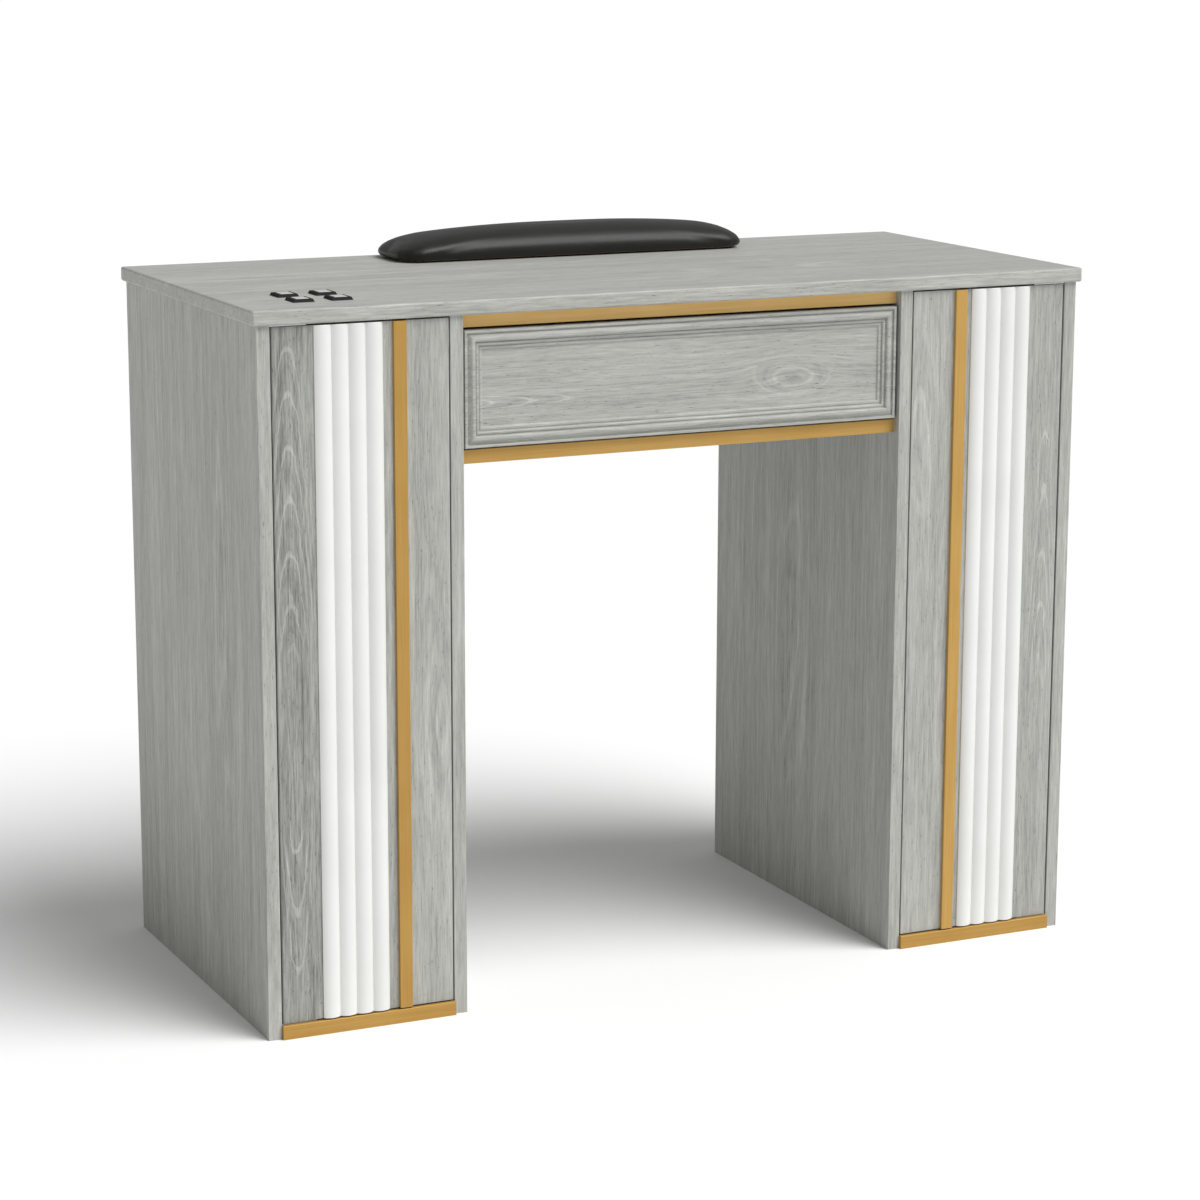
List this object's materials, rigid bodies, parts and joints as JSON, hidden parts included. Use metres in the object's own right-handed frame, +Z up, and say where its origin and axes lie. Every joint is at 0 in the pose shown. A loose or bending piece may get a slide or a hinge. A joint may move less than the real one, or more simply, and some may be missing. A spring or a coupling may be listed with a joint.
{
  "type": "manicure table",
  "caption": "Grey wood-grain manicure table: two cabinets with fluted, gold-trimmed doors, a moulded drawer between them, push switches and a padded wrist rest.",
  "frame": {"origin": "on the floor under the centre of the worktop", "axes": "+X to the right seen from the drawer side, +Y from the drawer side to the client side, +Z up"},
  "size_m": [1, 0.455, 0.821],
  "materials": {
    "worktop_laminate": "matt grey wood-grain laminate, grain along the width",
    "grey_laminate": "matt grey wood-grain laminate, grain upright",
    "drawer_front_foil": "satin grey wood-grain foil over a carved board",
    "drawer_board": "matt grey laminate board",
    "thin_hardboard": "matt grey thin hardboard",
    "white_lacquer": "satin white lacquer",
    "gold_trim": "satin gold",
    "zinc_plated_steel": "zinc plated",
    "fastener_steel": "zinc plated",
    "latch_plastic": "moulded, fine texture",
    "plunger_plastic": "moulded",
    "switch_black": "black, soft gloss",
    "switch_cap_grey": "light grey, soft gloss",
    "cover_plastic": "moulded, fine texture",
    "rest_plywood": "raw plywood",
    "black_leather": "black synthetic leather, fine grain",
    "foot_rubber": "matt black"
  },
  "bodies": {
    "root": {"worktop": "worktop_laminate", "left_outer_side": "grey_laminate", "left_inner_side": "grey_laminate", "right_inner_side": "grey_laminate", "right_outer_side": "grey_laminate", "left_bottom_board": "grey_laminate", "right_bottom_board": "grey_laminate", "left_back_panel": "thin_hardboard", "right_back_panel": "thin_hardboard", "left_shelf": "grey_laminate", "right_shelf": "grey_laminate", "shelf_pins": "fastener_steel", "left_kick_trim": "gold_trim", "right_kick_trim": "gold_trim", "upper_front_rail": "grey_laminate", "lower_front_rail": "grey_laminate", "upper_rail_trim": "gold_trim", "lower_rail_trim": "gold_trim", "rear_rail": "grey_laminate", "cam_bolts": "fastener_steel", "cam_discs": "fastener_steel", "wood_screws": "fastener_steel", "cabinet_pivot_plates": "zinc_plated_steel", "latch_housings": "latch_plastic", "left_slide_outer": "zinc_plated_steel", "right_slide_outer": "zinc_plated_steel", "switch_housings": "switch_black", "wiring_cover": "cover_plastic", "wrist_rest_base": "rest_plywood", "wrist_rest_pad": "black_leather", "wrist_rest_feet": "foot_rubber"},
    "drawer": {"drawer_front": "drawer_front_foil", "drawer_box_front": "drawer_board", "drawer_back": "drawer_board", "drawer_bottom": "thin_hardboard", "left_drawer_side": "drawer_board", "right_drawer_side": "drawer_board", "drawer_screws": "fastener_steel", "left_slide_inner": "zinc_plated_steel", "right_slide_inner": "zinc_plated_steel"},
    "slide_middles": {"left_slide_middle": "zinc_plated_steel", "right_slide_middle": "zinc_plated_steel", "slide_balls": "fastener_steel"},
    "left_door": {"left_door": "grey_laminate", "left_fluted_panel": "white_lacquer", "left_door_strip": "gold_trim", "left_door_pivot_leaves": "zinc_plated_steel", "left_strike_plate": "zinc_plated_steel"},
    "right_door": {"right_door": "grey_laminate", "right_fluted_panel": "white_lacquer", "right_door_strip": "gold_trim", "right_door_pivot_leaves": "zinc_plated_steel", "right_strike_plate": "zinc_plated_steel"},
    "left_latch_plunger": {"left_latch_plunger": "plunger_plastic"},
    "right_latch_plunger": {"right_latch_plunger": "plunger_plastic"},
    "drawer_latch_plunger": {"drawer_latch_plunger": "plunger_plastic"},
    "switch_cap_1": {"switch_cap_1": "switch_cap_grey"},
    "switch_cap_2": {"switch_cap_2": "switch_cap_grey"},
    "switch_cap_3": {"switch_cap_3": "switch_cap_grey"},
    "switch_cap_4": {"switch_cap_4": "switch_cap_grey"}
  },
  "joints": [
    {"name": "drawer_slide", "type": "slide", "parent": "root", "child": "drawer", "axis": [0, -1, 0], "range_m": [0, 0.33]},
    {"name": "slide_middle_slide", "type": "slide", "parent": "root", "child": "slide_middles", "axis": [0, -1, 0], "range_m": [0, 0.165]},
    {"name": "left_door_hinge", "type": "hinge", "parent": "root", "child": "left_door", "pos_m": [-0.469, -0.2165, 0.392], "axis": [0, 0, -1], "range_deg": [0, 95]},
    {"name": "right_door_hinge", "type": "hinge", "parent": "root", "child": "right_door", "pos_m": [0.469, -0.2165, 0.392], "axis": [0, 0, 1], "range_deg": [0, 95]},
    {"name": "left_latch_press", "type": "slide", "parent": "root", "child": "left_latch_plunger", "axis": [0, 1, 0], "range_m": [0, 0.003], "stiffness_N_per_m": 400},
    {"name": "right_latch_press", "type": "slide", "parent": "root", "child": "right_latch_plunger", "axis": [0, 1, 0], "range_m": [0, 0.003], "stiffness_N_per_m": 400},
    {"name": "drawer_latch_press", "type": "slide", "parent": "root", "child": "drawer_latch_plunger", "axis": [0, 1, 0], "range_m": [0, 0.003], "stiffness_N_per_m": 400},
    {"name": "switch_press_1", "type": "slide", "parent": "root", "child": "switch_cap_1", "axis": [0, 0, -1], "range_m": [0, 0.002], "stiffness_N_per_m": 300},
    {"name": "switch_press_2", "type": "slide", "parent": "root", "child": "switch_cap_2", "axis": [0, 0, -1], "range_m": [0, 0.002], "stiffness_N_per_m": 300},
    {"name": "switch_press_3", "type": "slide", "parent": "root", "child": "switch_cap_3", "axis": [0, 0, -1], "range_m": [0, 0.002], "stiffness_N_per_m": 300},
    {"name": "switch_press_4", "type": "slide", "parent": "root", "child": "switch_cap_4", "axis": [0, 0, -1], "range_m": [0, 0.002], "stiffness_N_per_m": 300}
  ],
  "couplings": [
    {"joint": "slide_middle_slide", "follows": "drawer_slide", "ratio": 0.5}
  ]
}
